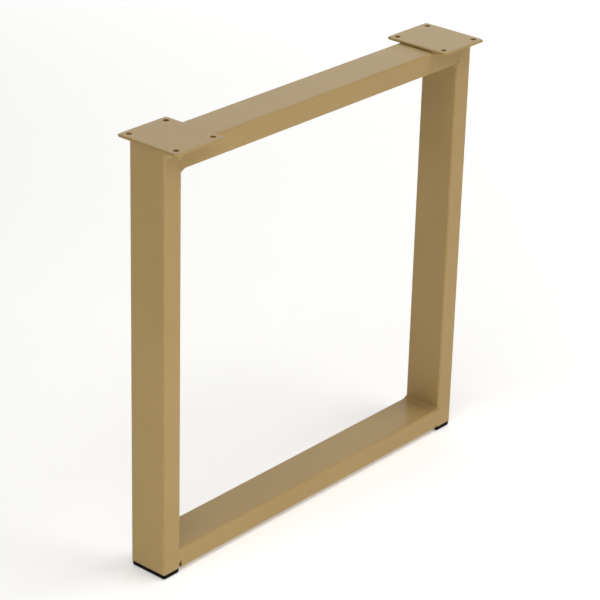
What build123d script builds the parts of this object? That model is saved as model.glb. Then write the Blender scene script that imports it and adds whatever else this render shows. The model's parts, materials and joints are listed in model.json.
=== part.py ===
from build123d import *
import os

# Bench base: a closed, standing frame welded from rectangular steel tube, with a drilled seat plate on
# each leg and a ribbed plastic foot pressed into each leg's lower end.
# The origin is on the floor under the middle of the frame. X runs along the frame's width, Y across it.

# Driving dimensions, in millimetres and degrees
overall_height = 400.0  # floor to the seat plates' top faces
frame_width = 400.0  # outer face of one leg to the outer face of the other

# Rectangular steel tube of the legs and rails
tube_depth = 40.0  # wide side, across the frame
tube_thickness = 20.0  # narrow side, in the frame's plane
tube_wall = 1.5
tube_corner_radius = 2.0  # outside corners of the section
tube_bore_corner_least = 0.3  # inside corners of the section are never sharper
rail_root_gap = 2.0  # rail's cut end to the leg's face, bridged by the weld
bottom_rail_drop = 1.0  # bottom rail's underside below the legs' lower ends

# Seat plates on the legs' upper ends
plate_length = 58.0  # along the frame's width
plate_width = 68.0  # across the frame
plate_thickness = 2.0
plate_corner_radius = 4.0
plate_edge_chamfer = 0.7  # upper outer edge, rolled over by the punch
plate_overhang = 1.0  # plate's outer edge past the leg's outer face
plate_gap = 0.5  # the legs stand this far above the top rail, so the plate clears it
screw_hole_diameter = 5.0
screw_hole_inset = 7.5  # hole's centre from the plate's edges

# Plastic feet: a head under the tube's end and a hollow ribbed plug inside it
foot_head_height = 5.0
foot_head_clearance = 0.3  # head's sides in from the tube's outside
foot_head_corner_radius = 3.5
foot_sole_radius = 1.5  # rounded edge round the sole
plug_length = 16.0
plug_clearance = 1.5  # plug's sides to the tube's bore, bridged by the ribs
plug_wall = 1.8
plug_corner_radius = 2.5
rib_count = 3
rib_pitch = 4.5
rib_height = 1.5
rib_taper = 20.0  # each rib narrows upwards, so that it slides in and grips on the way out
rib_clearance = 0.1  # rib's edge to the tube's bore
rib_corner_radius = 2.0

# Weld round each joint of leg and rail: a fillet across the inside corner and a low bead up each face
corner_weld_leg = 2.2  # from the corner up the leg, and past the rail's end along the rail
corner_weld_hollow = 0.2  # fillet's face dips this far below the straight line between its toes
face_weld_width = 8.0
face_weld_crown = 0.4
face_weld_run_on = 1.1  # bead ends this far past the rail's inner side
face_weld_setback = 1.0  # and stops this far short of the rail's outer side
open_weld_setback = 5.6  # or this far, on the one joint whose bead stops early

# Stitch welds under the seat plates' overhang
plate_weld_leg = 6.0
stitch_hip = 0.35  # run of each sloping end, as a share of the stitch's length, up to the weld's leg
stitch_clearance = 0.5  # leg stitch's ends to the face beads and to the leg's outer face
back_stitch_length = 8.0  # on the leg's back
rail_stitch_length = 24.0

# Heights and places that follow from them
leg_bottom = foot_head_height
leg_top = overall_height - plate_thickness
leg_length = leg_top - leg_bottom
leg_centre = (frame_width - tube_thickness) / 2
joint_x = frame_width / 2 - tube_thickness  # inner face of a leg
rail_end_x = joint_x - rail_root_gap
top_rail_centre = leg_top - plate_gap - tube_thickness / 2
bottom_rail_centre = leg_bottom - bottom_rail_drop + tube_thickness / 2
face_y = tube_depth / 2  # front and back faces of the tubes
bore_thickness = tube_thickness - 2 * tube_wall
bore_depth = tube_depth - 2 * tube_wall
bore_corner_radius = max(tube_corner_radius - tube_wall, tube_bore_corner_least)
plate_outer_x = frame_width / 2 + plate_overhang
plate_centre_x = plate_outer_x - plate_length / 2

sides = {"left": -1, "right": 1}
faces = {"front": -1, "back": 1}

os.makedirs("parts", exist_ok=True)


def write(piece, name):
    """Labels a finished piece and writes it to its own file."""
    piece.part.label = name
    export_step(piece.part, f"parts/{name}.step")


def leg_plane(side, height):
    """Level plane on a leg's centre line."""
    return Plane((side * leg_centre, 0, height))


def rail_plane(height):
    """Plane across a rail's left end, with its local x along Y and its local y upwards."""
    return Plane((-rail_end_x, 0, height), x_dir=(0, 1, 0), z_dir=(1, 0, 0))


# Legs and rails: first the tube's outside as a bar, which also trims the welds, then its bore
leg_bars = {}
for side_name, side in sides.items():
    with BuildPart() as leg_bar:
        with BuildSketch(leg_plane(side, leg_bottom)):
            RectangleRounded(tube_thickness, tube_depth, tube_corner_radius)
        extrude(amount=leg_length)
    leg_bars[side_name] = leg_bar.part

    with BuildPart() as leg_tube:
        add(leg_bar.part)
        with BuildSketch(leg_plane(side, leg_bottom)):
            RectangleRounded(bore_thickness, bore_depth, bore_corner_radius)
        extrude(amount=leg_length, mode=Mode.SUBTRACT)
    write(leg_tube, f"{side_name}_leg_tube")

rail_bars = {}
for level_name, rail_centre in {"top": top_rail_centre, "bottom": bottom_rail_centre}.items():
    with BuildPart() as rail_bar:
        with BuildSketch(rail_plane(rail_centre)):
            RectangleRounded(tube_depth, tube_thickness, tube_corner_radius)
        extrude(amount=2 * rail_end_x)
    rail_bars[level_name] = rail_bar.part

    with BuildPart() as rail_tube:
        add(rail_bar.part)
        with BuildSketch(rail_plane(rail_centre)):
            RectangleRounded(bore_depth, bore_thickness, bore_corner_radius)
        extrude(amount=2 * rail_end_x, mode=Mode.SUBTRACT)
    write(rail_tube, f"{level_name}_rail_tube")

# Seat plates, each with a screw hole at every corner
hole_spacing_x = plate_length - 2 * screw_hole_inset
hole_spacing_y = plate_width - 2 * screw_hole_inset
for side_name, side in sides.items():
    with BuildPart() as seat_plate:
        with BuildSketch(Plane((side * plate_centre_x, 0, leg_top))):
            RectangleRounded(plate_length, plate_width, plate_corner_radius)
            with GridLocations(hole_spacing_x, hole_spacing_y, 2, 2):
                Circle(screw_hole_diameter / 2, mode=Mode.SUBTRACT)
        extrude(amount=plate_thickness)
        chamfer(seat_plate.faces().sort_by(Axis.Z)[-1].outer_wire().edges(), plate_edge_chamfer)
    write(seat_plate, f"{side_name}_seat_plate")

# Feet: rounded head, ribbed plug, and the hollow that opens at the plug's upper end
plug_thickness = bore_thickness - 2 * plug_clearance
plug_depth = bore_depth - 2 * plug_clearance
first_rib = (plug_length - (rib_count - 1) * rib_pitch - rib_height) / 2
for side_name, side in sides.items():
    with BuildPart() as foot_cap:
        with BuildSketch(leg_plane(side, 0)):
            RectangleRounded(
                tube_thickness - 2 * foot_head_clearance,
                tube_depth - 2 * foot_head_clearance,
                foot_head_corner_radius,
            )
        extrude(amount=foot_head_height)
        fillet(foot_cap.faces().sort_by(Axis.Z)[0].edges(), foot_sole_radius)
        with BuildSketch(leg_plane(side, foot_head_height)):
            RectangleRounded(plug_thickness, plug_depth, plug_corner_radius)
        extrude(amount=plug_length)
        for rib in range(rib_count):
            with BuildSketch(leg_plane(side, foot_head_height + first_rib + rib * rib_pitch)):
                RectangleRounded(
                    bore_thickness - 2 * rib_clearance,
                    bore_depth - 2 * rib_clearance,
                    rib_corner_radius,
                )
            extrude(amount=rib_height, taper=rib_taper)
        with BuildSketch(leg_plane(side, foot_head_height)):
            RectangleRounded(
                plug_thickness - 2 * plug_wall,
                plug_depth - 2 * plug_wall,
                max(plug_corner_radius - plug_wall, tube_bore_corner_least),
            )
        extrude(amount=plug_length, mode=Mode.SUBTRACT)
    write(foot_cap, f"{side_name}_foot_cap")


def face_weld(side, face, rail_centre, inward, setback):
    """Low round-ended bead up one face of a joint, filling the groove along the leg's rounded edge."""
    inner_end = rail_centre + inward * (tube_thickness / 2 + face_weld_run_on)
    outer_end = rail_centre - inward * (tube_thickness / 2 - setback)
    root_y = face_y - tube_corner_radius
    crown_radius = face_weld_width**2 / (8 * face_weld_crown) + face_weld_crown / 2
    crown_axis = face * (face_y + face_weld_crown - crown_radius)
    with BuildPart() as bead:
        middle = (side * joint_x, face * root_y, (inner_end + outer_end) / 2)
        with BuildSketch(Plane(middle, x_dir=(0, 0, 1), z_dir=(0, face, 0))):
            SlotOverall(abs(inner_end - outer_end), face_weld_width)
        extrude(amount=tube_corner_radius + face_weld_crown)
        with BuildSketch(Plane((side * joint_x, crown_axis, rail_centre))):
            Circle(crown_radius)
        extrude(amount=tube_thickness + face_weld_width, both=True, mode=Mode.INTERSECT)
    return bead.part


# Corner welds: fillet across the frame's inside corner, run on into a bead up the front and the back.
# The fillet's section reaches back to its root, in the gap at the rail's end and in the grooves that the
# tubes' rounded edges leave.
root = -tube_corner_radius
leg_toe = Vector(0, corner_weld_leg)
rail_toe = Vector(rail_root_gap + corner_weld_leg, 0)
outward = Vector(leg_toe.Y, rail_toe.X).normalized()
throat = (leg_toe + rail_toe) / 2 - outward * corner_weld_hollow
for level_name, rail_centre, inward in (("top", top_rail_centre, -1), ("bottom", bottom_rail_centre, 1)):
    for side_name, side in sides.items():
        face_beads = []
        for face_name, face in faces.items():
            stops_early = (level_name, side_name, face_name) == ("bottom", "left", "front")
            setback = open_weld_setback if stops_early else face_weld_setback
            face_beads.append(face_weld(side, face, rail_centre, inward, setback))
        inside_corner = Plane(
            (side * joint_x, 0, rail_centre + inward * tube_thickness / 2),
            x_dir=(-side, 0, 0),
            z_dir=(0, side * inward, 0),
        )
        with BuildPart() as corner_weld:
            with BuildSketch(inside_corner):
                with BuildLine():
                    ThreePointArc(rail_toe, throat, leg_toe)
                    Polyline(leg_toe, (root, leg_toe.Y), (root, root), (rail_toe.X, root), rail_toe)
                make_face()
            extrude(amount=face_y, both=True)
            add(face_beads)
            add([leg_bars[side_name], rail_bars[level_name]], mode=Mode.SUBTRACT)
        write(corner_weld, f"{level_name}_{side_name}_corner_weld")


def stitch_weld(x, face, length):
    """Fillet under the plate's overhang, along one face of a tube, with hipped ends."""
    under_plate = (x, face * face_y, leg_top)
    with BuildPart() as stitch:
        with BuildSketch(Plane(under_plate, x_dir=(0, face, 0), z_dir=(-face, 0, 0))):
            with BuildLine():
                Polyline((root, 0), (plate_weld_leg, 0), (root, plate_weld_leg - root), close=True)
            make_face()
        extrude(amount=length / 2, both=True)
        with BuildSketch(Plane(under_plate, x_dir=(-face, 0, 0), z_dir=(0, 0, -1))):
            with BuildLine():
                half = length / 2
                half_run = half - min(plate_weld_leg, stitch_hip * length)
                near_end = Polyline((-half, root), (-half, 0), (-half_run, plate_weld_leg))
                far_end = Polyline((half_run, plate_weld_leg), (half, 0), (half, root))
                Line(near_end @ 1, far_end @ 0)
                Line(far_end @ 1, near_end @ 0)
            make_face()
        extrude(amount=plate_weld_leg - root, mode=Mode.INTERSECT)
    return stitch.part


# Plate welds: on the front and the back, one stitch on the leg, beside the face bead, and one on the rail
leg_stitch_start = joint_x + face_weld_width / 2 + stitch_clearance
leg_stitch_lengths = {
    "front": frame_width / 2 - stitch_clearance - leg_stitch_start,
    "back": back_stitch_length,
}
rail_stitch_centre = (joint_x + plate_outer_x - plate_length) / 2
for side_name, side in sides.items():
    stitches = []
    for face_name, face in faces.items():
        leg_stitch_length = leg_stitch_lengths[face_name]
        leg_stitch_centre = leg_stitch_start + leg_stitch_length / 2
        stitches.append(stitch_weld(side * leg_stitch_centre, face, leg_stitch_length))
        stitches.append(stitch_weld(side * rail_stitch_centre, face, rail_stitch_length))
    with BuildPart() as plate_weld:
        add(stitches)
        add([leg_bars[side_name], rail_bars["top"]], mode=Mode.SUBTRACT)
    write(plate_weld, f"{side_name}_plate_weld")
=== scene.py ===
"""Finishes a welded bench base: coated tubes, seat plates, weld beads and plastic feet on a pale floor."""

import functools
import json
import math

import bmesh
import bpy
from bpy.props import FloatProperty, FloatVectorProperty, IntProperty, PointerProperty
from mathutils import Matrix, Vector


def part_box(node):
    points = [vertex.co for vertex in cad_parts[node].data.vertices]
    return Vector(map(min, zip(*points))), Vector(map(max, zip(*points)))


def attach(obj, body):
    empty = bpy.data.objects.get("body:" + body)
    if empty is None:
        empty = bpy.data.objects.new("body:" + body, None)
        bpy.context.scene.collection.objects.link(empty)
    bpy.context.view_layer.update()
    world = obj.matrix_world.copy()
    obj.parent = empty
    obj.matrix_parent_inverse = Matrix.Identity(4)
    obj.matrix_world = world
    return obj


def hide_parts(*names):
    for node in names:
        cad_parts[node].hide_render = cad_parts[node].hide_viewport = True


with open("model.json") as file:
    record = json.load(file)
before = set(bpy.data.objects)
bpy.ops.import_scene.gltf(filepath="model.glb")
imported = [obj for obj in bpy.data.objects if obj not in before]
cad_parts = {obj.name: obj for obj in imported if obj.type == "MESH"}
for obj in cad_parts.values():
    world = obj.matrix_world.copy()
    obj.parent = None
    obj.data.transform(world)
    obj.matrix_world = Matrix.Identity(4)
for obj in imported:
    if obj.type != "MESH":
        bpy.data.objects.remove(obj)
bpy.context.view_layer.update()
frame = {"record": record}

bl_info = {
    "name": "Bench Base Finish",
    "version": (1, 0, 0),
    "blender": (4, 5, 0),
    "location": "View3D > Sidebar > Bench Base",
    "description": "Builds the finished tubes, plates, welds and feet of a welded bench base",
    "category": "Object",
}

BODY = "root"
TUBES = ("left_leg_tube", "right_leg_tube", "top_rail_tube", "bottom_rail_tube")
PLATES = ("left_seat_plate", "right_seat_plate")
FEET = {"left_foot_cap": "left_leg_tube", "right_foot_cap": "right_leg_tube"}
CORNER_WELDS = (
    "top_left_corner_weld", "top_right_corner_weld", "bottom_left_corner_weld", "bottom_right_corner_weld",
)
PLATE_WELDS = ("left_plate_weld", "right_plate_weld")
MM = 0.001
MERGE_DISTANCE = 0.001 * MM
PAINTED_SHADE = "thin_coat"  # face attribute, 1 on the screw holes' walls, where shade is painted into the coat


def linear(colour):
    """The linear RGBA of an sRGB hex colour."""
    channels = [int(colour[i:i + 2], 16) / 255 for i in (1, 3, 5)]
    return tuple(c / 12.92 if c <= 0.04045 else ((c + 0.055) / 1.055) ** 2.4 for c in channels) + (1.0,)


def per_metre(millimetres):
    """The texture scale that gives a pattern of this size on Object coordinates."""
    return 1 / (millimetres * MM)


def add_node(tree, kind, settings=None, inputs=()):
    """Adds a node, sets its properties, then links or sets its inputs, given by name or in order.

    A node in place of a socket stands for its first output, and plain text as the settings is the operation.
    """
    node = tree.nodes.new(kind)
    if isinstance(settings, str):
        settings = {"operation": settings}
    for name, value in (settings or {}).items():
        setattr(node, name, value)
    for key, value in inputs.items() if isinstance(inputs, dict) else enumerate(inputs):
        if isinstance(value, bpy.types.Node):
            value = value.outputs[0]
        if isinstance(value, bpy.types.NodeSocket):
            tree.links.new(value, node.inputs[key])
        else:
            node.inputs[key].default_value = value
    return node


class BenchTubeSettings(bpy.types.PropertyGroup):
    """Section of the rectangular tube that the legs and rails are cut from."""

    wall: FloatProperty(
        name="Wall", description="Thickness of the tube wall",
        default=1.5 * MM, min=0.5 * MM, max=4 * MM, unit="LENGTH", precision=4,
    )
    corner_radius: FloatProperty(
        name="Corner radius", description="Outside radius of the tube's rolled corners",
        default=2.0 * MM, min=0.2 * MM, max=6 * MM, unit="LENGTH", precision=4,
    )
    bore_radius: FloatProperty(
        name="Bore radius", description="Inside radius of the tube's rolled corners",
        default=0.5 * MM, min=0.1 * MM, max=5 * MM, unit="LENGTH", precision=4,
    )
    corner_segments: IntProperty(
        name="Corner segments", description="Flats that make up one rolled corner", default=10, min=3, max=24,
    )


class BenchPlateSettings(bpy.types.PropertyGroup):
    """Shape of the punched steel plates that the bench top is screwed to."""

    corner_radius: FloatProperty(
        name="Corner radius", description="Radius of the plate's corners in plan",
        default=4.0 * MM, min=2 * MM, max=20 * MM, unit="LENGTH", precision=4,
    )
    rolled_radius: FloatProperty(
        name="Rolled edge", description="Rounding of the upper outer edge, rolled over by the punch",
        default=1.4 * MM, min=0.05 * MM, max=1.6 * MM, unit="LENGTH", precision=5,
    )
    edge_radius: FloatProperty(
        name="Edge radius", description="Rounding that the coat gives to the lower edge and to the holes",
        default=0.2 * MM, min=0.05 * MM, max=0.4 * MM, unit="LENGTH", precision=5,
    )


class BenchFootSettings(bpy.types.PropertyGroup):
    """Shape of the plastic feet pressed into the legs' lower ends."""

    head_corner_radius: FloatProperty(
        name="Head corner radius", description="Radius of the head's corners in plan",
        default=2.4 * MM, min=0.5 * MM, max=8 * MM, unit="LENGTH", precision=4,
    )
    sole_radius: FloatProperty(
        name="Sole radius", description="Rounding between the foot's sole and its sides",
        default=2.0 * MM, min=0.2 * MM, max=3 * MM, unit="LENGTH", precision=4,
    )
    rim_radius: FloatProperty(
        name="Rim radius", description="Rounding of the head's upper rim, under the tube",
        default=0.4 * MM, min=0.1 * MM, max=1 * MM, unit="LENGTH", precision=5,
    )
    plug_clearance: FloatProperty(
        name="Plug clearance", description="Gap between the plug's wall and the bore",
        default=1.5 * MM, min=0.3 * MM, max=4 * MM, unit="LENGTH", precision=4,
    )
    plug_wall: FloatProperty(
        name="Plug wall", description="Thickness of the hollow plug's wall",
        default=1.8 * MM, min=0.5 * MM, max=4 * MM, unit="LENGTH", precision=4,
    )
    rib_count: IntProperty(
        name="Ribs", description="Ribs round the plug that grip the bore", default=3, min=1, max=6,
    )
    rib_pitch: FloatProperty(
        name="Rib pitch", description="Distance from one rib to the next",
        default=4.5 * MM, min=2 * MM, max=10 * MM, unit="LENGTH", precision=4,
    )
    rib_height: FloatProperty(
        name="Rib height", description="Height of one rib along the plug",
        default=1.5 * MM, min=0.5 * MM, max=3 * MM, unit="LENGTH", precision=4,
    )
    rib_clearance: FloatProperty(
        name="Rib clearance", description="Gap between a rib's edge and the bore",
        default=0.1 * MM, min=0.02 * MM, max=0.5 * MM, unit="LENGTH", precision=5,
    )


class BenchWeldSettings(bpy.types.PropertyGroup):
    """Shape of the weld metal under the coat."""

    corner_leg: FloatProperty(
        name="Corner leg", description="Reach of the inside bead up the leg, and along the rail past its end",
        default=2.2 * MM, min=0.5 * MM, max=8 * MM, unit="LENGTH", precision=4,
    )
    corner_hollow: FloatProperty(
        name="Corner hollow", description="Dip of the inside bead below the line between its toes",
        default=0.2 * MM, min=0.0, max=0.5 * MM, unit="LENGTH", precision=5,
    )
    face_width: FloatProperty(
        name="Face width", description="Width of the bead up the front and the back of a joint",
        default=10.4 * MM, min=2 * MM, max=16 * MM, unit="LENGTH", precision=4,
    )
    face_shift: FloatProperty(
        name="Face shift", description="Distance from the joint to the face bead's middle, on the leg",
        default=2.4 * MM, min=0.0, max=6 * MM, unit="LENGTH", precision=4,
    )
    face_crown: FloatProperty(
        name="Face crown", description="Rise of the face bead over the tubes",
        default=0.4 * MM, min=0.0, max=2 * MM, unit="LENGTH", precision=5,
    )
    face_lump: FloatProperty(
        name="Face lump", description="Extra rise where the face bead ends at the inside corner",
        default=1.3 * MM, min=0.0, max=2 * MM, unit="LENGTH", precision=5,
    )
    face_run_on: FloatProperty(
        name="Face run-on", description="Distance that the face bead ends past the rail's inner side",
        default=1.1 * MM, min=0.0, max=5 * MM, unit="LENGTH", precision=4,
    )
    face_setback: FloatProperty(
        name="Face setback", description="Distance that the face bead stops short of the rail's outer side",
        default=1 * MM, min=0.0, max=8 * MM, unit="LENGTH", precision=4,
    )
    open_setback: FloatProperty(
        name="Open setback", description="The same distance on the one bead that stops early",
        default=5.6 * MM, min=0.0, max=12 * MM, unit="LENGTH", precision=4,
    )
    stitch_leg: FloatProperty(
        name="Stitch leg", description="Reach of a stitch along the plate and down the tube",
        default=6 * MM, min=1 * MM, max=12 * MM, unit="LENGTH", precision=4,
    )
    blob_length: FloatProperty(
        name="Blob length", description="Length of the one blob under the left plate, at the joint's front",
        default=9 * MM, min=2 * MM, max=16 * MM, unit="LENGTH", precision=4,
    )
    blob_drop: FloatProperty(
        name="Blob drop", description="Reach of that blob down the joint",
        default=12 * MM, min=2 * MM, max=18 * MM, unit="LENGTH", precision=4,
    )
    blob_shift: FloatProperty(
        name="Blob shift", description="Distance from the joint to that blob's middle, on the leg",
        default=3 * MM, min=0.0, max=10 * MM, unit="LENGTH", precision=4,
    )
    stitch_clearance: FloatProperty(
        name="Stitch clearance",
        description="Room between a leg's stitch, its face bead and the leg's outer face",
        default=0.5 * MM, min=0.0, max=3 * MM, unit="LENGTH", precision=4,
    )
    back_stitch: FloatProperty(
        name="Back stitch", description="Length of the stitch on a leg's back",
        default=8 * MM, min=6 * MM, max=15 * MM, unit="LENGTH", precision=4,
    )
    rail_stitch: FloatProperty(
        name="Rail stitch", description="Length of the stitch under the plate along the rail",
        default=24 * MM, min=8 * MM, max=34 * MM, unit="LENGTH", precision=4,
    )
    ripple_pitch: FloatProperty(
        name="Ripple pitch", description="Distance from one ripple of a bead to the next",
        default=1.6 * MM, min=0.5 * MM, max=5 * MM, unit="LENGTH", precision=4,
    )
    ripple_height: FloatProperty(
        name="Ripple height", description="Height of one ripple",
        default=0.1 * MM, min=0.0, max=0.6 * MM, unit="LENGTH", precision=5,
    )
    lump_size: FloatProperty(
        name="Lump size", description="Length of the uneven lumps that hand welding leaves",
        default=5 * MM, min=1 * MM, max=20 * MM, unit="LENGTH", precision=4,
    )
    lump_height: FloatProperty(
        name="Lump height", description="Height of the uneven lumps",
        default=0.35 * MM, min=0.0, max=1 * MM, unit="LENGTH", precision=5,
    )
    wander: FloatProperty(
        name="Wander", description="Share by which a bead's width wanders",
        default=0.25, min=0, max=0.6, subtype="FACTOR",
    )
    mesh_size: FloatProperty(
        name="Mesh size", description="Length of one mesh face along a bead",
        default=0.3 * MM, min=0.1 * MM, max=1 * MM, unit="LENGTH", precision=5,
    )


class BenchFinishSettings(bpy.types.PropertyGroup):
    """Colours and gloss of the coat and the plastic."""

    coat_light: FloatVectorProperty(
        name="Coat, light", description="Lighter colour of the gold coat",
        default=linear("#A98E5C"), size=4, min=0, max=1, subtype="COLOR",
    )
    coat_deep: FloatVectorProperty(
        name="Coat, deep", description="Deeper colour of the gold coat",
        default=linear("#A48957"), size=4, min=0, max=1, subtype="COLOR",
    )
    coat_roughness: FloatProperty(
        name="Coat roughness", description="Roughness of the satin coat",
        default=0.35, min=0.05, max=1, subtype="FACTOR",
    )
    coat_specular: FloatProperty(
        name="Coat reflection",
        description="Specular level of the coat, lower than a clear lacquer's because it is matted",
        default=0.16, min=0, max=1, subtype="FACTOR",
    )
    # Painted shade: the darker coat colour put on the walls of the screw holes.
    hole_wall: FloatVectorProperty(
        name="Hole wall", description="Colour of the thin coat inside the screw holes",
        default=linear("#80622A"), size=4, min=0, max=1, subtype="COLOR",
    )
    plastic: FloatVectorProperty(
        name="Foot plastic", description="Colour of the moulded feet",
        default=linear("#060606"), size=4, min=0, max=1, subtype="COLOR",
    )


class BenchStudioSettings(bpy.types.PropertyGroup):
    """Camera, floor and lights."""

    azimuth: FloatProperty(
        name="Azimuth", description="Direction that the camera stands in, turned from the front",
        default=math.radians(-49.36), subtype="ANGLE",
    )
    elevation: FloatProperty(
        name="Elevation", description="Height of the camera above the level view",
        default=math.radians(25.07), subtype="ANGLE",
    )
    roll: FloatProperty(
        name="Roll", description="Tilt of the camera about its own axis",
        default=math.radians(1.575), subtype="ANGLE",
    )
    distance: FloatProperty(
        name="Distance", description="Distance from the camera to the point it looks at",
        default=2.1424, min=0.5, unit="LENGTH",
    )
    aim: FloatVectorProperty(
        name="Aim", description="Point that the camera looks at",
        default=(-6.47 * MM, 0.0, 197.43 * MM), size=3, subtype="XYZ", unit="LENGTH",
    )
    lens: FloatProperty(
        name="Lens", description="Focal length in millimetres on a 36 mm sensor", default=144.22, min=10,
    )
    floor_colour: FloatVectorProperty(
        name="Floor", description="Colour of the studio floor",
        default=linear("#F4F3F1"), size=4, min=0, max=1, subtype="COLOR",
    )
    floor_glow: FloatProperty(
        name="Floor glow", description="Light that the sheet gives by itself, about the object",
        default=0.26, min=0,
    )
    rim_glow: FloatProperty(
        name="Rim glow", description="The same at the rim, where less of the softboxes' light falls",
        default=0.6, min=0,
    )
    near_radius: FloatProperty(
        name="Near radius", description="Distance from the object where the rim's glow begins",
        default=1.4, min=0.3, unit="LENGTH",
    )
    sheet_radius: FloatProperty(
        name="Sheet radius", description="Radius of the round sheet that the object stands on",
        default=2.3, min=0.5, unit="LENGTH",
    )
    backdrop: FloatProperty(
        name="Backdrop", description="Brightness of the pale backdrop, which lights nothing",
        default=0.92, min=0,
    )
    key_power: FloatProperty(
        name="Key", description="Power of the softbox high in front on the right",
        default=39.5, min=0, subtype="POWER",
    )
    left_power: FloatProperty(
        name="Left", description="Power of the softbox high on the left",
        default=31.0, min=0, subtype="POWER",
    )
    back_power: FloatProperty(
        name="Back", description="Power of the wide softbox behind on the right",
        default=21.0, min=0, subtype="POWER",
    )
    low_left_power: FloatProperty(
        name="Low left", description="Power of the small fill near the floor on the left",
        default=1.1, min=0, subtype="POWER",
    )
    low_front_power: FloatProperty(
        name="Low front", description="Power of the small fill near the floor in front",
        default=2.9, min=0, subtype="POWER",
    )


class BenchBaseSettings(bpy.types.PropertyGroup):
    """All settings of the bench base."""

    tube: PointerProperty(type=BenchTubeSettings, name="Tube", description="Section of the legs and rails")
    plate: PointerProperty(type=BenchPlateSettings, name="Plate", description="Shape of the seat plates")
    foot: PointerProperty(type=BenchFootSettings, name="Foot", description="Shape of the feet")
    weld: PointerProperty(type=BenchWeldSettings, name="Weld", description="Shape of the weld beads")
    finish: PointerProperty(type=BenchFinishSettings, name="Finish", description="Colours and gloss")
    studio: PointerProperty(type=BenchStudioSettings, name="Studio", description="Camera, floor and lights")


def new_material(name):
    """Starts a material: gives it, a function that adds nodes to its tree, and the Object coordinates."""
    material = bpy.data.materials.new(name)
    material.use_nodes = True
    material.node_tree.nodes.clear()
    add = functools.partial(add_node, material.node_tree)
    return material, add, add("ShaderNodeTexCoord").outputs["Object"]


def powder_coat(finish):
    """Polyester powder coat with bronze flake, sprayed and baked.

    It gives a satin gold skin: a faint orange peel a few millimetres across, a fine glitter of flake, and a
    tone that wanders a little where the powder lies thicker.
    """
    name = "Gold polyester powder coat"
    if name in bpy.data.materials:
        return bpy.data.materials[name]
    material, add, place = new_material(name)
    # The coat's thickness wanders over about 45 mm.
    drift = add("ShaderNodeTexNoise", None, {"Vector": place, "Scale": per_metre(45), "Detail": 3.0})
    # Flakes are near 0.05 mm, drawn at 0.6 mm so that they show.
    flake = add("ShaderNodeTexVoronoi", None, {"Vector": place, "Scale": per_metre(0.6)})
    glint = add("ShaderNodeSeparateColor", None, {"Color": flake.outputs["Color"]})
    flake_share = 0.45
    tone = add(
        "ShaderNodeMath", {"operation": "MULTIPLY_ADD", "use_clamp": True},
        (glint.outputs["Red"], flake_share, drift),
    )
    shift = add("ShaderNodeMapRange", None, {"Value": tone, "From Min": 0.35, "From Max": 1.0})
    colour = add(
        "ShaderNodeMix", {"data_type": "RGBA"},
        {"Factor": shift, 6: tuple(finish.coat_deep), 7: tuple(finish.coat_light)},
    )
    # Painted shade: on the walls of the punched holes the coat takes a darker colour that stands in for the
    # shade inside them.
    shaded = add("ShaderNodeAttribute", {"attribute_name": PAINTED_SHADE})
    with_hole_shade = add(
        "ShaderNodeMix", {"data_type": "RGBA"},
        {"Factor": shaded.outputs["Fac"], 6: colour.outputs[2], 7: tuple(finish.hole_wall)},
    )
    # The gloss differs a little from flake to flake.
    spread = 0.04
    gloss = add(
        "ShaderNodeMapRange", None,
        {
            "Value": glint.outputs["Green"],
            "To Min": finish.coat_roughness - spread, "To Max": finish.coat_roughness + spread,
        },
    )
    # Orange peel of baked powder, about 2.5 mm from crest to crest.
    peel = add("ShaderNodeTexNoise", None, {"Vector": place, "Scale": per_metre(2.5), "Detail": 1.0})
    bump = add("ShaderNodeBump", None, {"Strength": 0.15, "Distance": 0.05 * MM, "Height": peel})
    surface = add(
        "ShaderNodeBsdfPrincipled", None,
        {
            "Base Color": with_hole_shade.outputs[2], "Specular IOR Level": finish.coat_specular,
            "Roughness": gloss, "Normal": bump,
        },
    )
    add("ShaderNodeOutputMaterial", None, {"Surface": surface})
    return material


def foot_plastic(finish):
    """Low-density polyethylene, injection moulded.

    It gives a near-black soft sheen with a fine spark-eroded grain.
    """
    material, add, place = new_material("Black moulded polyethylene")
    # Mould grain near 0.1 mm, drawn at 0.4 mm so that it shows.
    grain = add("ShaderNodeTexNoise", None, {"Vector": place, "Scale": per_metre(0.4), "Detail": 2.0})
    gloss = add("ShaderNodeMapRange", None, {"Value": grain, "To Min": 0.36, "To Max": 0.52})
    bump = add("ShaderNodeBump", None, {"Strength": 0.2, "Distance": 0.03 * MM, "Height": grain})
    surface = add(
        "ShaderNodeBsdfPrincipled", None,
        {
            "Base Color": tuple(finish.plastic), "Roughness": gloss, "IOR": 1.51,
            "Specular IOR Level": 0.04, "Normal": bump,
        },
    )
    add("ShaderNodeOutputMaterial", None, {"Surface": surface})
    return material


def studio_floor(studio):
    """Matt white studio paper that glows by itself as painted light, which gives an even pale ground with
    soft contact shadows.
    """
    material, add, place = new_material("White studio paper")
    # Paper fibre, about 4 mm long.
    fibre = add("ShaderNodeTexNoise", None, {"Vector": place, "Scale": per_metre(4), "Detail": 2.0})
    gloss = add("ShaderNodeMapRange", None, {"Value": fibre, "To Min": 0.85, "To Max": 0.95})
    # The sheet glows by itself, painted light that is stronger towards its rim, so that it stays as pale
    # there as the backdrop.
    away = add("ShaderNodeVectorMath", "LENGTH", (place,))
    glow = add(
        "ShaderNodeMapRange", {"interpolation_type": "SMOOTHSTEP"},
        {
            "Value": away.outputs["Value"], "From Min": studio.near_radius, "From Max": studio.sheet_radius,
            "To Min": studio.floor_glow, "To Max": studio.rim_glow,
        },
    )
    sheet = add(
        "ShaderNodeBsdfPrincipled", None,
        {
            "Base Color": tuple(studio.floor_colour), "Roughness": gloss,
            "Emission Color": (1, 1, 1, 1), "Emission Strength": glow,
        },
    )
    add("ShaderNodeOutputMaterial", None, {"Surface": sheet})
    return material


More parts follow.
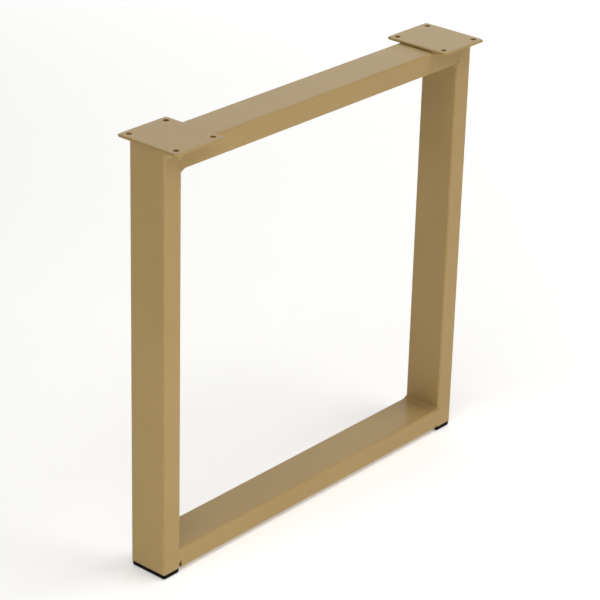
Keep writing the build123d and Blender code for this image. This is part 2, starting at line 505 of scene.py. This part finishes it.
def new_tree(name, inputs):
    """Starts a Geometry Nodes tree with named inputs of each kind, and gives the modifier key of each."""
    tree = bpy.data.node_groups.new(name, "GeometryNodeTree")
    keys = {
        label: tree.interface.new_socket(label, in_out="INPUT", socket_type=f"NodeSocket{kind}").identifier
        for kind, labels in inputs.items() for label in labels
    }
    tree.interface.new_socket("Geometry", in_out="OUTPUT", socket_type="NodeSocketGeometry")
    return tree, keys


def end_tree(tree, geometry, material):
    """Closes a tree: instances made real, then the material, then the output."""
    real = add_node(tree, "GeometryNodeRealizeInstances", None, {"Geometry": geometry})
    coated = add_node(tree, "GeometryNodeSetMaterial", None, {"Geometry": real, "Material": material})
    add_node(tree, "NodeGroupOutput", None, {"Geometry": coated})


def rectangular_tube_tree():
    """A rolled rectangular tube standing on its lower end: a rounded ring, filled and drawn up."""
    tree, keys = new_tree("Rectangular tube", {
        "Float": ("Thickness", "Depth", "Length", "Wall", "Corner Radius", "Bore Radius"),
        "Int": ("Corner Segments",), "Material": ("Material",),
    })
    add = functools.partial(add_node, tree)
    given = add("NodeGroupInput").outputs
    bore_thickness, bore_depth = (
        add("ShaderNodeMath", "MULTIPLY_ADD", (given["Wall"], -2.0, given[side]))
        for side in ("Thickness", "Depth")
    )
    ring = add("GeometryNodeJoinGeometry")
    for width, height, radius in (
        (given["Thickness"], given["Depth"], given["Corner Radius"]),
        (bore_thickness, bore_depth, given["Bore Radius"]),
    ):
        outline = add("GeometryNodeCurvePrimitiveQuadrilateral", None, {"Width": width, "Height": height})
        rounded = add(
            "GeometryNodeFilletCurve", {"mode": "POLY"},
            {"Curve": outline, "Count": given["Corner Segments"], "Radius": radius},
        )
        tree.links.new(rounded.outputs["Curve"], ring.inputs["Geometry"])
    section = add("GeometryNodeFillCurve", None, {"Curve": ring})
    rise = add("ShaderNodeCombineXYZ", None, {"Z": given["Length"]})
    drawn = add(
        "GeometryNodeExtrudeMesh", None,
        {"Mesh": section, "Offset": rise, "Offset Scale": 1.0, "Individual": False},
    )
    lower_end = add("GeometryNodeFlipFaces", None, {"Mesh": section})
    whole = add("GeometryNodeJoinGeometry", None, {"Geometry": drawn})
    tree.links.new(lower_end.outputs["Mesh"], whole.inputs["Geometry"])
    closed = add("GeometryNodeMergeByDistance", None, {"Geometry": whole, "Distance": MERGE_DISTANCE})
    end_tree(tree, closed, given["Material"])
    return tree, keys


def weld_bead_tree():
    """A weld bead along X: a grid rolled round the bead's section, with round ends, ripples and uneven lumps.

    The section runs over a crowned face from one toe to the other, and back through a root inside the joint.
    """
    tree, keys = new_tree("Weld bead", {
        "Float": (
            "Length", "End Length", "Crown", "End Lump", "Ripple Pitch", "Ripple Height", "Lump Size",
            "Lump Height", "Wander", "Mesh Size", "Seed",
        ),
        "Vector": ("First Toe", "Second Toe", "Root", "Outward"), "Material": ("Material",),
    })
    # Columns of the grid round the section, and the share of them on the bead's face.
    columns, face_share = 21, 0.8
    add = functools.partial(add_node, tree)
    given = add("NodeGroupInput").outputs
    rows = add("ShaderNodeMath", "DIVIDE", (given["Length"], given["Mesh Size"]))
    grid = add(
        "GeometryNodeMeshGrid", None,
        {"Size X": 1.0, "Size Y": 1.0, "Vertices X": rows, "Vertices Y": columns},
    )
    share = add("ShaderNodeSeparateXYZ", None, (grid.outputs["UV Map"],))
    travel = add("ShaderNodeMath", "MULTIPLY", (share.outputs["X"], given["Length"]))
    across = add(
        "ShaderNodeMath", {"operation": "DIVIDE", "use_clamp": True}, (share.outputs["Y"], face_share),
    )
    # The ends close as quarter rounds.
    left_over = add("ShaderNodeMath", "SUBTRACT", (given["Length"], travel))
    to_end = add("ShaderNodeMath", "MINIMUM", (travel, left_over))
    rise = add("ShaderNodeMath", {"operation": "DIVIDE", "use_clamp": True}, (to_end, given["End Length"]))
    fall = add("ShaderNodeMath", "SUBTRACT", (2.0, rise))
    quarter = add("ShaderNodeMath", "SQRT", (add("ShaderNodeMath", "MULTIPLY", (rise, fall)),))
    # Uneven lumps, and a slower wander of the bead's width.
    sideways = add("ShaderNodeMath", "MULTIPLY", (across, given["Lump Size"]))
    spot = add("ShaderNodeCombineXYZ", None, {"X": travel, "Y": sideways})
    detail = add("ShaderNodeMath", "DIVIDE", (1.0, given["Lump Size"]))
    lumps, width = (
        add(
            "ShaderNodeTexNoise", {"noise_dimensions": "4D"},
            {"Vector": place, "W": given["Seed"], "Scale": detail, "Detail": 1.0},
        )
        for place in (spot, add("ShaderNodeCombineXYZ", None, {"X": travel}))
    )
    swing = add("ShaderNodeMath", "MULTIPLY_ADD", (lumps, 2.0, -1.0))
    # Ripples are crescents, so the middle of the bead runs ahead of its toes.
    fallen = add("ShaderNodeMath", "SUBTRACT", (1.0, across))
    bulge = add("ShaderNodeMath", "MULTIPLY", (add("ShaderNodeMath", "MULTIPLY", (across, fallen)), 4.0))
    turns = add("ShaderNodeMath", "DIVIDE", (travel, given["Ripple Pitch"]))
    ahead = add("ShaderNodeMath", "ADD", (turns, add("ShaderNodeMath", "ADD", (bulge, swing))))
    wave = add("ShaderNodeMath", "SINE", (add("ShaderNodeMath", "MULTIPLY", (ahead, 2 * math.pi)),))
    last = add(
        "ShaderNodeMapRange", {"interpolation_type": "SMOOTHSTEP"},
        {"Value": left_over, "From Min": given["Lump Size"], "From Max": 0.0, "To Max": given["End Lump"]},
    )
    lift = add("ShaderNodeMath", "MULTIPLY_ADD", (swing, given["Lump Height"], given["Crown"]))
    lift = add("ShaderNodeMath", "MULTIPLY_ADD", (wave, given["Ripple Height"], lift))
    lift = add("ShaderNodeMath", "MULTIPLY", (add("ShaderNodeMath", "ADD", (lift, last)), bulge))
    chord = add(
        "ShaderNodeMix", {"data_type": "VECTOR"},
        {"Factor": across, 4: given["First Toe"], 5: given["Second Toe"]},
    )
    crowned = add("ShaderNodeVectorMath", "MULTIPLY_ADD", (given["Outward"], lift, chord.outputs[1]))
    # Behind the face the section goes from the second toe to the root, and on to the first toe.
    behind = add(
        "ShaderNodeMapRange", None, {"Value": share.outputs["Y"], "From Min": face_share, "To Min": -1.0},
    )
    to_root, from_root = (
        add("ShaderNodeMapRange", None, {"Value": behind, "From Min": first, "From Max": first + 1.0})
        for first in (-1.0, 0.0)
    )
    inner = add("ShaderNodeMix", {"data_type": "VECTOR"}, {"Factor": to_root, 4: crowned, 5: given["Root"]})
    section = add(
        "ShaderNodeMix", {"data_type": "VECTOR"},
        {"Factor": from_root, 4: inner.outputs[1], 5: given["First Toe"]},
    )
    strayed = add("ShaderNodeMath", "SUBTRACT", (width, 0.5))
    wide = add("ShaderNodeMath", "MULTIPLY_ADD", (strayed, given["Wander"], 1.0))
    full = add("ShaderNodeMath", "MULTIPLY", (quarter, wide))
    scaled = add("ShaderNodeVectorMath", "SCALE", {0: section.outputs[1], "Scale": full})
    from_middle = add("ShaderNodeMath", "MULTIPLY_ADD", (given["Length"], -0.5, travel))
    along = add("ShaderNodeCombineXYZ", None, {"X": from_middle})
    point = add("ShaderNodeVectorMath", "ADD", (scaled, along))
    rolled = add("GeometryNodeSetPosition", None, {"Geometry": grid, "Position": point})
    closed = add("GeometryNodeMergeByDistance", None, {"Geometry": rolled, "Distance": MERGE_DISTANCE})
    end_tree(tree, closed, given["Material"])
    return tree, keys


def new_object(name, data):
    """Adds an object to the scene at the origin."""
    piece = bpy.data.objects.new(name, data)
    bpy.context.scene.collection.objects.link(piece)
    return piece


def add_modifier(piece, kind, **settings):
    """Adds a modifier with its settings."""
    modifier = piece.modifiers.new(kind.title(), kind)
    for name, value in settings.items():
        setattr(modifier, name, value)
    return modifier


def add_geometry_nodes(piece, tree, keys, values):
    """Puts a tree on a piece and sets its inputs by their identifiers."""
    modifier = add_modifier(piece, "NODES", node_group=tree)
    for label, value in values.items():
        modifier[keys[label]] = value


def settle(piece):
    """Turns a piece and its modifiers into a plain mesh."""
    graph = bpy.context.evaluated_depsgraph_get()
    mesh = bpy.data.meshes.new_from_object(piece.evaluated_get(graph), depsgraph=graph)
    if not mesh.polygons:
        raise RuntimeError(f"{piece.name} came out with no faces")
    mesh.name = piece.name
    piece.modifiers.clear()
    piece.data = mesh
    return piece


def soften(piece, sharp_degrees=40):
    """Smooth shading that keeps flat faces flat and breaks at real edges."""
    piece.data.shade_smooth()
    piece.data.set_sharp_from_angle(angle=math.radians(sharp_degrees))
    add_modifier(piece, "WEIGHTED_NORMAL", keep_sharp=True)
    return settle(piece)


def stand_for(piece, node):
    """Lets a finished piece take the place of its CAD node."""
    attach(piece, BODY)
    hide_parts(node)


def rounded_rectangle(half_x, half_y, radius, segments):
    """Points of a rectangle with rounded corners, counter-clockwise from its right side."""
    points = []
    for quarter, (sx, sy) in enumerate(((1, 1), (-1, 1), (-1, -1), (1, -1))):
        for step in range(segments + 1):
            turn = math.pi / 2 * (quarter + step / segments)
            points.append((
                sx * (half_x - radius) + radius * math.cos(turn),
                sy * (half_y - radius) + radius * math.sin(turn),
            ))
    return points


def skin(shell, levels):
    """Joins loops of points, each at its height, by strips of faces; gives the first and the last loop."""
    loops = [[shell.verts.new((x, y, height)) for x, y in points] for height, points in levels]
    for lower, upper in zip(loops, loops[1:]):
        for i in range(len(lower)):
            shell.faces.new((lower[i - 1], lower[i], upper[i], upper[i - 1]))
    return loops[0], loops[-1]


def close_shell(shell, name, material):
    """Turns a finished shell into a mesh of one material."""
    mesh = bpy.data.meshes.new(name)
    shell.to_mesh(mesh)
    shell.free()
    mesh.materials.append(material)
    return mesh


def centre_and_size(node):
    """Middle and size of a CAD node's box."""
    low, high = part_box(node)
    return (low + high) / 2, high - low


class BENCHBASE_OT_tubes(bpy.types.Operator):
    """Draws the legs and rails as rolled rectangular tube"""

    bl_idname = "bench_base.tubes"
    bl_label = "Legs and Rails"

    def execute(self, context):
        settings = context.scene.bench_base
        tube = settings.tube
        coat = powder_coat(settings.finish)
        tree, keys = rectangular_tube_tree()
        for node in TUBES:
            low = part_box(node)[0]
            centre, size = centre_and_size(node)
            piece = new_object(node.replace("_tube", ""), bpy.data.meshes.new(node))
            add_geometry_nodes(piece, tree, keys, {
                "Thickness": min(size.x, size.z), "Depth": size.y, "Length": max(size.x, size.z),
                "Wall": tube.wall, "Corner Radius": tube.corner_radius, "Bore Radius": tube.bore_radius,
                "Corner Segments": tube.corner_segments, "Material": coat,
            })
            settle(piece)
            if size.z > size.x:
                place = Matrix.Translation((centre.x, centre.y, low.z))
            else:
                place = Matrix.Translation((low.x, centre.y, centre.z)) @ Matrix.Rotation(math.pi / 2, 4, "Y")
            piece.data.transform(place)
            stand_for(soften(piece, sharp_degrees=25), node)
        return {"FINISHED"}


class BENCHBASE_OT_plates(bpy.types.Operator):
    """Punches the two seat plates, with four screw holes each"""

    bl_idname = "bench_base.plates"
    bl_label = "Seat Plates"

    def execute(self, context):
        settings = context.scene.bench_base
        plate = settings.plate
        coat = powder_coat(settings.finish)
        mounts = {mount["name"]: mount["dims"] for mount in frame["record"]["mounts"]}
        for node in PLATES:
            centre, size = centre_and_size(node)
            shell = bmesh.new()
            shaded = shell.faces.layers.float.new(PAINTED_SHADE)
            half_x, half_y = size.x / 2, size.y / 2
            rims = [skin(shell, [
                (height, rounded_rectangle(
                    half_x - inset, half_y - inset, plate.corner_radius - inset, segments=12,
                ))
                for height, inset in self.edge(size.z, plate.edge_radius, plate.rolled_radius)
            ])]
            outside = set(shell.faces)
            holes = mounts[node.replace("seat_plate", "plate_holes")]
            for x, y in self.hole_places(holes):
                rims.append(skin(shell, [
                    (height, self.circle(x, y, holes["hole_r_mm"] * MM + inset))
                    for height, inset in self.edge(size.z, plate.edge_radius, plate.edge_radius)
                ]))
            # The holes' walls are marked for the painted shade.
            for face in set(shell.faces) - outside:
                face[shaded] = 1.0
            for level in zip(*rims):
                bmesh.ops.triangle_fill(shell, use_beauty=True, edges=[
                    shell.edges.get((loop[i - 1], loop[i])) for loop in level for i in range(len(loop))
                ])
            bmesh.ops.recalc_face_normals(shell, faces=shell.faces)
            mesh = close_shell(shell, node, coat)
            mesh.transform(Matrix.Translation(centre))
            stand_for(soften(new_object(node.replace("_seat_", "_"), mesh)), node)
        return {"FINISHED"}

    @staticmethod
    def edge(thickness, lower_radius, upper_radius, steps=5):
        """Heights and insets up a plate's cut edge, rounded below and above."""
        turns = [math.pi / 2 * step / steps for step in range(steps + 1)]
        return [
            (-thickness / 2 + lower_radius * (1 - math.sin(turn)), lower_radius * (1 - math.cos(turn)))
            for turn in reversed(turns)
        ] + [
            (thickness / 2 - upper_radius * (1 - math.sin(turn)), upper_radius * (1 - math.cos(turn)))
            for turn in turns
        ]

    @staticmethod
    def circle(x, y, radius, steps=48):
        """Points of a circle."""
        turns = [2 * math.pi * step / steps for step in range(steps)]
        return [(x + radius * math.cos(turn), y + radius * math.sin(turn)) for turn in turns]

    @staticmethod
    def hole_places(pattern):
        """Middle of each hole of the bolt pattern, from the plate's middle."""
        reach_x, reach_y = pattern["spacing_x_mm"] * MM / 2, pattern["spacing_y_mm"] * MM / 2
        return [(x, y) for x in (-reach_x, reach_x) for y in (-reach_y, reach_y)]


class BENCHBASE_OT_feet(bpy.types.Operator):
    """Moulds the two feet, each a rounded head under a hollow ribbed plug"""

    bl_idname = "bench_base.feet"
    bl_label = "Feet"

    arc_steps = 6  # flats that make up one rounded edge
    plug_radius = 2.5 * MM  # corners of the plug in plan
    least_radius = 0.3 * MM  # what a corner keeps when its outline is inset

    def execute(self, context):
        settings = context.scene.bench_base
        foot, tube = settings.foot, settings.tube
        plastic = foot_plastic(settings.finish)
        for node, leg in FEET.items():
            centre, size = centre_and_size(node)
            leg_size = centre_and_size(leg)[1]
            bore = (leg_size.x / 2 - tube.wall, leg_size.y / 2 - tube.wall)
            sole_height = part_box(node)[0].z
            head_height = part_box(leg)[0].z - sole_height
            shell = bmesh.new()
            first, last = skin(shell, [
                (height, rounded_rectangle(half_x, half_y, radius, segments=8))
                for height, half_x, half_y, radius in self.rings(foot, size, head_height, bore)
            ])
            shell.faces.new(reversed(first))
            shell.faces.new(last)
            bmesh.ops.remove_doubles(shell, verts=shell.verts, dist=MERGE_DISTANCE)
            mesh = close_shell(shell, node, plastic)
            mesh.transform(Matrix.Translation((centre.x, centre.y, sole_height)))
            piece = new_object(node.replace("_cap", ""), mesh)
            stand_for(soften(piece, sharp_degrees=50), node)
        return {"FINISHED"}

    def rings(self, foot, size, head_height, bore):
        """The foot's outlines from the sole up its outside, then down into the plug.

        Each is a height, the half sizes and the radius of a rounded rectangle.
        """
        head = (size.x / 2, size.y / 2)

        def ring(height, inset, about=head, radius=foot.head_corner_radius):
            return height, about[0] - inset, about[1] - inset, max(radius - inset, self.least_radius)

        sole, rim = foot.sole_radius, foot.rim_radius
        turns = [math.pi / 2 * step / self.arc_steps for step in range(self.arc_steps + 1)]
        rings = [ring(sole * (1 - math.cos(turn)), sole * (1 - math.sin(turn))) for turn in turns]
        rings += [
            ring(head_height - rim * (1 - math.sin(turn)), rim * (1 - math.cos(turn))) for turn in turns
        ]
        plug = functools.partial(ring, about=bore, radius=self.plug_radius)
        ribs_height = (foot.rib_count - 1) * foot.rib_pitch + foot.rib_height
        first_rib = (head_height + size.z - ribs_height) / 2
        rings.append(plug(head_height, foot.plug_clearance))
        for rib in range(foot.rib_count):
            start = first_rib + rib * foot.rib_pitch
            rings.append(plug(start, foot.plug_clearance))
            rings.append(plug(start, foot.rib_clearance))
            rings.append(plug(start + foot.rib_height, foot.plug_clearance))
        inside = foot.plug_clearance + foot.plug_wall
        rings.append(plug(size.z, foot.plug_clearance))
        rings.append(plug(size.z, inside))
        rings.append(plug(head_height, inside))
        return rings


class BENCHBASE_OT_welds(bpy.types.Operator):
    """Lays the weld beads at the frame's corners and under the plates"""

    bl_idname = "bench_base.welds"
    bl_label = "Welds"

    sink = 0.1 * MM  # how deep a bead's toes lie in the tubes
    root_depth = 0.6 * MM  # how deep its root lies
    corner_end = 1.2 * MM  # length in which an inside bead rounds off at its ends
    stitch_lumps = 3  # a stitch's lumps are this many times as high as a face bead's
    blob_lumps = 4  # and a blob's this many times

    def execute(self, context):
        settings = context.scene.bench_base
        weld = settings.weld
        coat = powder_coat(settings.finish)
        tree, keys = weld_bead_tree()
        shared = {
            "Ripple Pitch": weld.ripple_pitch, "Ripple Height": weld.ripple_height,
            "Lump Size": weld.lump_size, "Wander": weld.wander, "Mesh Size": weld.mesh_size,
            "Material": coat,
        }
        runs = {node: self.corner_beads(node, weld) for node in CORNER_WELDS}
        runs.update({node: self.plate_beads(node, weld) for node in PLATE_WELDS})
        seed = 0
        for node, beads in runs.items():
            shell = bmesh.new()
            for place, values in beads:
                seed += 1
                piece = new_object("bead", bpy.data.meshes.new("bead"))
                add_geometry_nodes(piece, tree, keys, {**shared, **values, "Seed": float(seed)})
                mesh = settle(piece).data
                mesh.transform(place)
                shell.from_mesh(mesh)
                bpy.data.objects.remove(piece)
            bmesh.ops.recalc_face_normals(shell, faces=shell.faces)
            mesh = close_shell(shell, node, coat)
            mesh.shade_smooth()
            stand_for(new_object(node.replace("_weld", "_bead"), mesh), node)
        return {"FINISHED"}

    @staticmethod
    def place(origin, along, first, second):
        """Turns a bead's own X, Y and Z to its run and the two directions of its toes."""
        return Matrix.Translation(origin) @ Matrix((along, first, second)).transposed().to_4x4()

    def fillet(self, first_leg, second_leg, length, end, crown=0.0):
        """Values of a bead across a corner."""
        return {
            "Length": length, "End Length": end, "Crown": crown,
            "First Toe": Vector((0, first_leg, -self.sink)),
            "Second Toe": Vector((0, -self.sink, second_leg)),
            "Root": Vector((0, -self.root_depth, -self.root_depth)),
            "Outward": Vector((0, second_leg, first_leg)).normalized(),
        }

    def corner_beads(self, node, weld):
        """The bead across one inside corner of the frame, and the beads up the joint's front and back."""
        level, side = node.split("_")[:2]
        leg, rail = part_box(f"{side}_leg_tube"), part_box(f"{level}_rail_tube")
        left, top = side == "left", level == "top"
        joint_x = leg[1 if left else 0].x
        root_gap = abs(rail[0 if left else 1].x - joint_x)
        to_middle = Vector((1 if left else -1, 0, 0))
        to_window = Vector((0, 0, -1 if top else 1))
        inner_z, outer_z = (rail[0].z, rail[1].z) if top else (rail[1].z, rail[0].z)
        depth = leg[1].y - leg[0].y
        beads = [(
            self.place((joint_x, 0, inner_z), Vector((0, 1, 0)), to_middle, to_window),
            {
                **self.fillet(
                    root_gap + weld.corner_leg, weld.corner_leg, depth, self.corner_end, -weld.corner_hollow,
                ),
                "Lump Height": weld.lump_height,
            },
        )]
        for face in (-1, 1):
            open_end = node == "bottom_left_corner_weld" and face < 0
            start = outer_z + to_window.z * (weld.open_setback if open_end else weld.face_setback)
            stop = inner_z + to_window.z * weld.face_run_on
            half = weld.face_width / 2
            middle = Vector((joint_x, face * depth / 2, (start + stop) / 2)) - weld.face_shift * to_middle
            beads.append((
                self.place(middle, to_window, to_middle, Vector((0, face, 0))),
                {
                    "Length": abs(stop - start), "End Length": half,
                    "First Toe": Vector((0, -half, -self.sink)), "Second Toe": Vector((0, half, -self.sink)),
                    "Root": Vector((0, weld.face_shift, -self.root_depth)), "Outward": Vector((0, 0, 1)),
                    "Crown": weld.face_crown, "End Lump": weld.face_lump, "Lump Height": weld.lump_height,
                },
            ))
        return beads

    def plate_beads(self, node, weld):
        """The stitches under one plate, on leg and rail, front and back, and the blob under the left one."""
        side = node.split("_")[0]
        sign = -1 if side == "left" else 1
        leg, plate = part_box(f"{side}_leg_tube"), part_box(f"{side}_seat_plate")
        leg_reach = max(abs(leg[0].x), abs(leg[1].x))
        joint_reach = min(abs(leg[0].x), abs(leg[1].x))
        plate_reach = min(abs(plate[0].x), abs(plate[1].x))
        leg_start = joint_reach + weld.face_shift + weld.face_width / 2 + weld.stitch_clearance
        front_stitch = leg_reach - weld.stitch_clearance - leg_start
        stitch = (weld.stitch_leg, weld.stitch_leg / 2, self.stitch_lumps)
        blob = (weld.blob_drop, weld.blob_length / 2, self.blob_lumps)
        runs = []
        for face, leg_stitch in ((-1, front_stitch), (1, weld.back_stitch)):
            runs.append((face, leg_start + leg_stitch / 2, leg_stitch, stitch))
            runs.append((face, (joint_reach + plate_reach) / 2, weld.rail_stitch, stitch))
        if side == "left":
            runs.append((-1, joint_reach + weld.blob_shift, weld.blob_length, blob))
        beads = []
        for face, reach, length, (drop, end, lumps) in runs:
            origin = (sign * reach, face * leg[1].y, plate[0].z)
            beads.append((
                self.place(origin, Vector((1, 0, 0)), Vector((0, face, 0)), Vector((0, 0, -1))),
                {
                    **self.fillet(weld.stitch_leg, drop, length, end),
                    "Lump Height": lumps * weld.lump_height,
                },
            ))
        return beads


class BENCHBASE_OT_stage(bpy.types.Operator):
    """Sets the pale floor, the soft lights and the camera"""

    bl_idname = "bench_base.stage"
    bl_label = "Studio"

    def execute(self, context):
        studio = context.scene.bench_base.studio
        self.add_floor(studio)
        self.add_lights(context.scene, studio)
        self.add_camera(context.scene, studio)
        return {"FINISHED"}

    @staticmethod
    def add_floor(studio):
        """A wide round sheet of studio paper under the feet."""
        shell = bmesh.new()
        bmesh.ops.create_circle(shell, cap_ends=True, segments=96, radius=studio.sheet_radius)
        new_object("studio_floor", close_shell(shell, "studio_floor", studio_floor(studio)))

    @staticmethod
    def add_lights(scene, studio):
        """Three large softboxes high up and behind, and two small fills near the floor."""
        world = bpy.data.worlds.new("Studio")
        scene.world = world
        world.use_nodes = True
        backdrop = world.node_tree.nodes["Background"].inputs
        backdrop["Color"].default_value = (1, 1, 1, 1)
        backdrop["Strength"].default_value = studio.backdrop
        # Only the camera sees the backdrop, so all the light comes from the softboxes and the sheet.
        seen = world.cycles_visibility
        seen.diffuse = seen.glossy = seen.transmission = seen.scatter = False
        middle = Vector((0, 0, 0.2))
        low = Vector((-0.15, 0, 0.05))
        for name, place, aim, size, power in (
            ("key_softbox", (1.06, -1.06, 2.33), middle, (2.0, 2.0), studio.key_power),
            ("left_softbox", (-1.45, -0.39, 2.33), middle, (2.0, 2.0), studio.left_power),
            ("back_softbox", (1.68, 1.46, 1.1), middle, (2.6, 1.6), studio.back_power),
            ("low_left_fill", (-0.85, -0.25, 0.16), low, (0.7, 0.3), studio.low_left_power),
            ("low_front_fill", (-0.12, -1.0, 0.3), low, (0.9, 0.5), studio.low_front_power),
        ):
            box = bpy.data.lights.new(name, "AREA")
            box.shape = "RECTANGLE"
            box.size, box.size_y = size
            box.energy = power
            lamp = new_object(name, box)
            lamp.location = place
            lamp.rotation_euler = (aim - lamp.location).to_track_quat("-Z", "Y").to_euler()
        scene.view_settings.view_transform = "Standard"

    @staticmethod
    def add_camera(scene, studio):
        """A camera at the photograph's angle, on a long lens."""
        camera = bpy.data.cameras.new("camera")
        camera.sensor_width = 36.0
        camera.lens = studio.lens
        eye = new_object("camera", camera)
        eye.matrix_world = (
            Matrix.Translation(studio.aim)
            @ Matrix.Rotation(studio.azimuth, 4, "Z")
            @ Matrix.Rotation(math.pi / 2 - studio.elevation, 4, "X")
            @ Matrix.Rotation(studio.roll, 4, "Z")
            @ Matrix.Translation((0, 0, studio.distance))
        )
        scene.camera = eye


class BENCHBASE_PT_panel(bpy.types.Panel):
    """Lists the bench base's pieces and their settings"""

    bl_idname = "BENCHBASE_PT_panel"
    bl_label = "Bench Base"
    bl_space_type = "VIEW_3D"
    bl_region_type = "UI"
    bl_category = "Bench Base"

    def draw(self, context):
        settings = context.scene.bench_base
        for group, operator in (
            ("tube", BENCHBASE_OT_tubes), ("plate", BENCHBASE_OT_plates), ("foot", BENCHBASE_OT_feet),
            ("weld", BENCHBASE_OT_welds), ("finish", None), ("studio", BENCHBASE_OT_stage),
        ):
            box = self.layout.box()
            if operator:
                box.operator(operator.bl_idname)
            part = getattr(settings, group)
            for name in part.bl_rna.properties.keys():
                if name not in ("rna_type", "name"):
                    box.prop(part, name)


CLASSES = (
    BenchTubeSettings, BenchPlateSettings, BenchFootSettings, BenchWeldSettings, BenchFinishSettings,
    BenchStudioSettings, BenchBaseSettings, BENCHBASE_OT_tubes, BENCHBASE_OT_plates, BENCHBASE_OT_feet,
    BENCHBASE_OT_welds, BENCHBASE_OT_stage, BENCHBASE_PT_panel,
)


def register():
    """Adds the classes and the scene's settings to Blender."""
    for cls in CLASSES:
        bpy.utils.register_class(cls)
    bpy.types.Scene.bench_base = PointerProperty(type=BenchBaseSettings)


def unregister():
    """Takes them out again."""
    del bpy.types.Scene.bench_base
    for cls in reversed(CLASSES):
        bpy.utils.unregister_class(cls)


def main():
    """Builds the bench base and its studio."""
    register()
    bpy.ops.bench_base.tubes()
    bpy.ops.bench_base.plates()
    bpy.ops.bench_base.feet()
    bpy.ops.bench_base.welds()
    bpy.ops.bench_base.stage()


if __name__ == "__main__":
    main()
